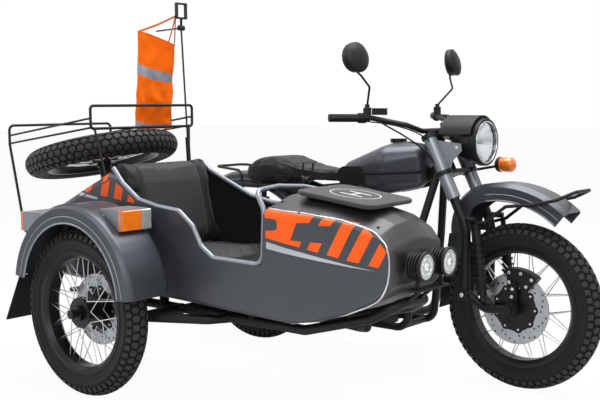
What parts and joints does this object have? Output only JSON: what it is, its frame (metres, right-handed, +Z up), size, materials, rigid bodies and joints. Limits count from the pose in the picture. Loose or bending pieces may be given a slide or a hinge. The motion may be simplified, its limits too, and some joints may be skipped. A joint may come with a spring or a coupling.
{
  "type": "sidecar motorcycle",
  "caption": "Retro motorcycle with spoked wheels and a boat-shaped sidecar that carries a landing pad, a spare wheel and a luggage rack.",
  "frame": {"origin": "on the ground, under the middle of the outfit's bounding box", "axes": "+X forward, +Y to the rider's left with the sidecar on -Y, +Z up"},
  "size_m": [2.4011, 1.7478, 1.6399],
  "materials": {
    "body_paint": "satin",
    "frame_paint": "satin",
    "grey_paint": "satin",
    "engine_metal": "matt",
    "cylinder_metal": "satin",
    "exhaust_metal": "satin",
    "rim_metal": "satin",
    "shock_metal": "gloss",
    "bar_metal": "satin",
    "tyre_rubber": "matt",
    "black_rubber": "matt",
    "black_plastic": "satin",
    "seat_cover": "matt",
    "pad_cover": "matt",
    "orange_cloth": "matt",
    "lamp_glass": "gloss",
    "signal_plastic": "gloss",
    "tail_plastic": "gloss"
  },
  "bodies": {
    "chassis": {"frame": "frame_paint", "engine": "engine_metal", "gearbox": "engine_metal", "cylinders": "cylinder_metal", "intake": "black_plastic", "exhausts": "exhaust_metal", "fuel_tank": "body_paint", "knee_pads": "black_rubber", "saddle": "seat_cover", "side_covers": "body_paint", "footrests": "frame_paint", "rear_fender": "body_paint", "tail_lamp": "tail_plastic", "pillion_rail": "frame_paint", "swing_arm": "frame_paint", "rear_shocks": "shock_metal", "sidecar_frame": "frame_paint", "sidecar_ladder": "frame_paint", "sidecar_nose_tube": "frame_paint", "sidecar_wheel_mount": "frame_paint", "boarding_step": "frame_paint", "body_mounts": "black_rubber", "sidecar_struts": "frame_paint", "sidecar_shock": "shock_metal", "sidecar_tub": "body_paint", "lid_hinges": "frame_paint", "sidecar_seat": "seat_cover", "sidecar_backrest": "seat_cover", "coaming_tubes": "bar_metal", "landing_pad": "pad_cover", "device_holder": "black_plastic", "driving_lamps": "frame_paint", "sidecar_fender": "body_paint", "mud_flap": "black_rubber", "fender_lamps": "grey_paint"},
    "fork": {"fork_frame": "frame_paint", "fork_covers": "grey_paint", "leading_link": "frame_paint", "front_shocks": "shock_metal", "headlamp": "black_plastic", "headlamp_glass": "lamp_glass", "lamp_cowl": "black_plastic", "handlebar": "frame_paint", "hand_controls": "black_plastic", "mirrors": "black_plastic", "front_turn_lamp": "signal_plastic", "front_fender": "body_paint", "bash_bar": "frame_paint"},
    "front_wheel": {"front_tyre": "tyre_rubber", "front_rim": "rim_metal"},
    "rear_wheel": {"rear_tyre": "tyre_rubber", "rear_rim": "rim_metal"},
    "sidecar_wheel": {"sidecar_tyre": "tyre_rubber", "sidecar_rim": "rim_metal"},
    "lid": {"trunk_lid": "body_paint", "luggage_rack": "frame_paint", "spare_tyre": "tyre_rubber", "spare_rim": "rim_metal", "mast": "frame_paint", "windsock": "orange_cloth"}
  },
  "joints": [
    {"name": "steering", "type": "hinge", "parent": "chassis", "child": "fork", "pos_m": [0.47115, 0.423, 0.95], "axis": [-0.4384, 0, 0.8988], "range_deg": [-32, 32]},
    {"name": "front_axle", "type": "hinge", "parent": "fork", "child": "front_wheel", "pos_m": [0.8555, 0.423, 0.345], "axis": [0, 1, 0], "continuous": true},
    {"name": "rear_axle", "type": "hinge", "parent": "chassis", "child": "rear_wheel", "pos_m": [-0.6145, 0.423, 0.345], "axis": [0, 1, 0], "continuous": true},
    {"name": "sidecar_axle", "type": "hinge", "parent": "chassis", "child": "sidecar_wheel", "pos_m": [-0.4845, -0.767, 0.345], "axis": [0, 1, 0], "continuous": true},
    {"name": "trunk_lid_hinge", "type": "hinge", "parent": "chassis", "child": "lid", "pos_m": [-0.9645, -0.357, 0.628], "axis": [0, -1, 0], "range_deg": [0, 60]}
  ]
}
